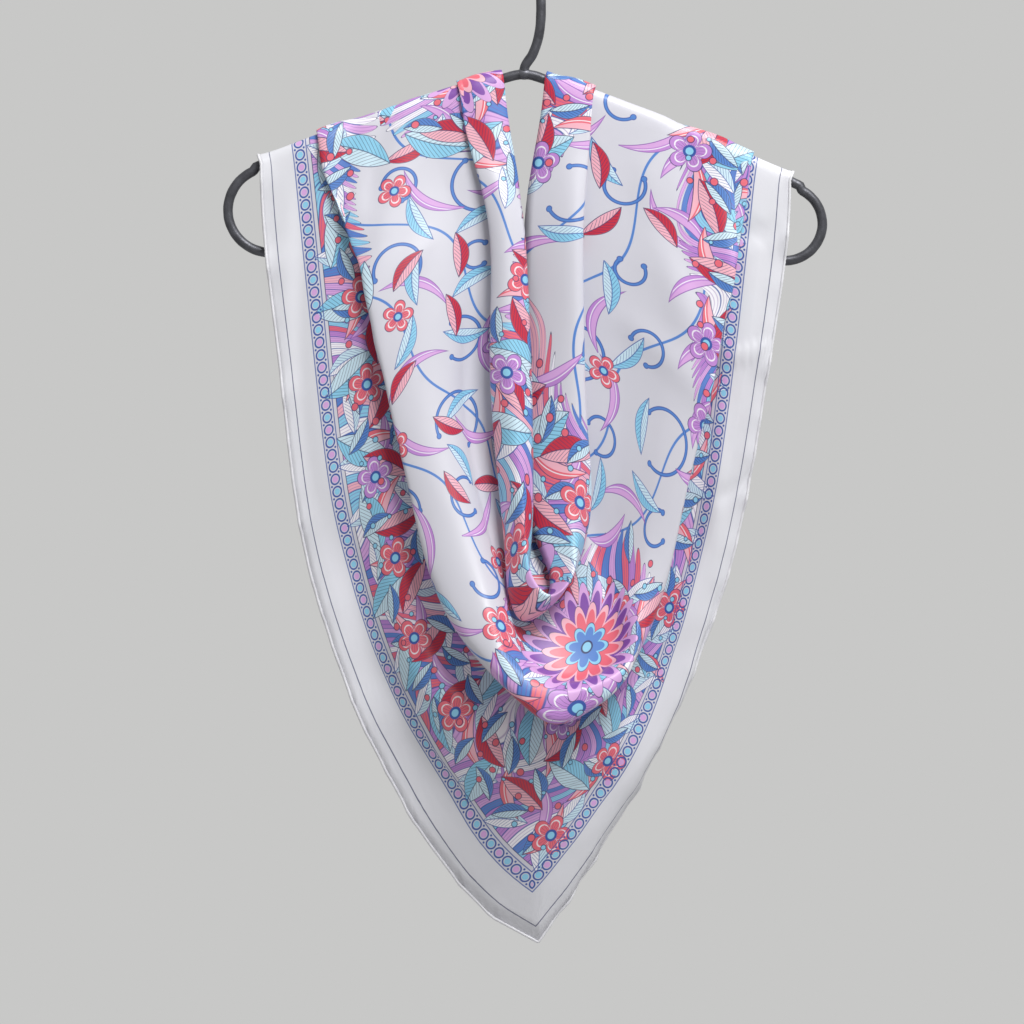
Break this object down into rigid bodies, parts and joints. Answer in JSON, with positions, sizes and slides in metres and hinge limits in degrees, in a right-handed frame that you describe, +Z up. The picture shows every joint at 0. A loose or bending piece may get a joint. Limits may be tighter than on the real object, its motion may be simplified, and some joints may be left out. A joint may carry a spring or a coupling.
{
  "type": "silk square scarf on wire hanger",
  "caption": "Silk square folded to a triangle and hung in a cowl over a forged wire hanger, with a soft roll and cup at the neckline.",
  "frame": {"origin": "top of the inside of the hook, where a rail bears", "axes": "+Z up, +X to the viewer's right along the hanger, -Y to the front of the cowl"},
  "size_m": [0.4305, 0.1, 0.7051],
  "materials": {
    "silk": "satin twill, printed",
    "iron": "dark forged, waxed"
  },
  "bodies": {
    "root": {"drape_front": "silk", "drape_back": "silk", "tail_left_outer": "silk", "tail_left_inner": "silk", "tail_right_outer": "silk", "tail_right_inner": "silk", "hanger_hook": "iron", "hanger_arm_left": "iron", "hanger_arm_right": "iron", "hanger_loop_left": "iron", "hanger_loop_right": "iron", "hanger_bar": "iron"}
  },
  "joints": []
}
